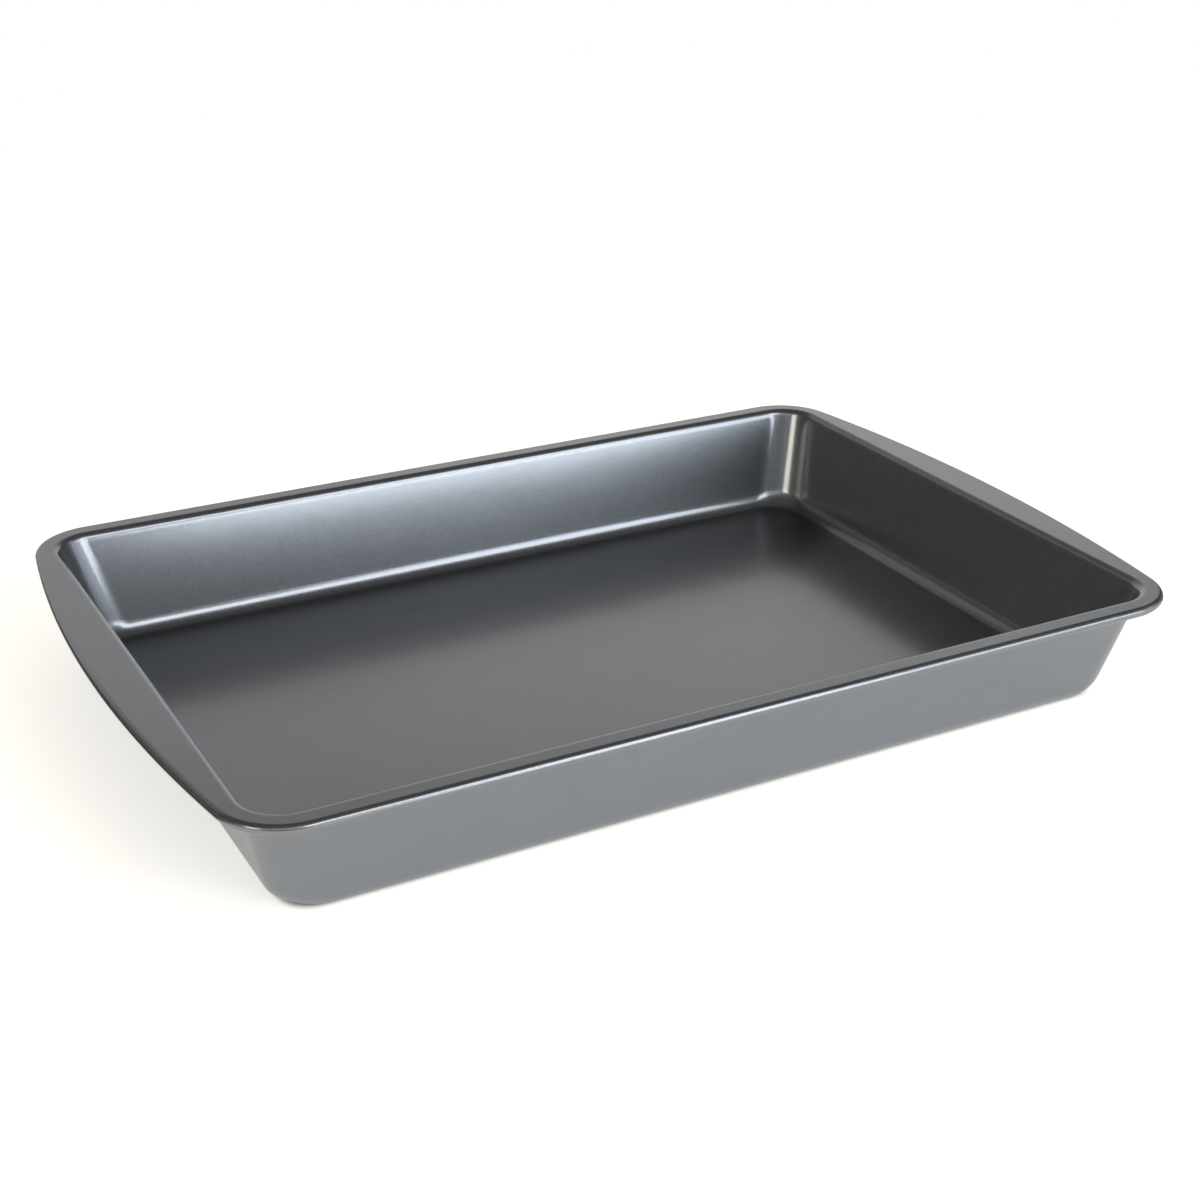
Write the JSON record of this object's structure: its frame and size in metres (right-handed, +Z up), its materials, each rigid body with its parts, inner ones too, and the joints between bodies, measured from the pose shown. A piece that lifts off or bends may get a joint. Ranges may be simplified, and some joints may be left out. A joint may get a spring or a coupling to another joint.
{
  "type": "baking pan",
  "caption": "Rectangular pressed-steel baking pan with drafted walls, rounded corners, a flat flange that swells into a crescent handle at each end, and a rolled edge.",
  "frame": {"origin": "middle of the underside of the flat base, where the pan rests", "axes": "+X along the pan from handle to handle, +Y across it to the back, +Z up out of the open top"},
  "size_m": [0.4464, 0.3024, 0.05],
  "materials": {
    "inside_coat": "satin dark grey metallic non-stick coat",
    "steel": "bare cold-rolled steel sheet, seen only at the cut edge inside the roll",
    "outside_coat": "satin dark grey metallic heat-resistant coat"
  },
  "bodies": {
    "root": {"inside_nonstick_coat": "inside_coat", "pressed_steel_pan": "steel", "outside_coat": "outside_coat"}
  },
  "joints": []
}
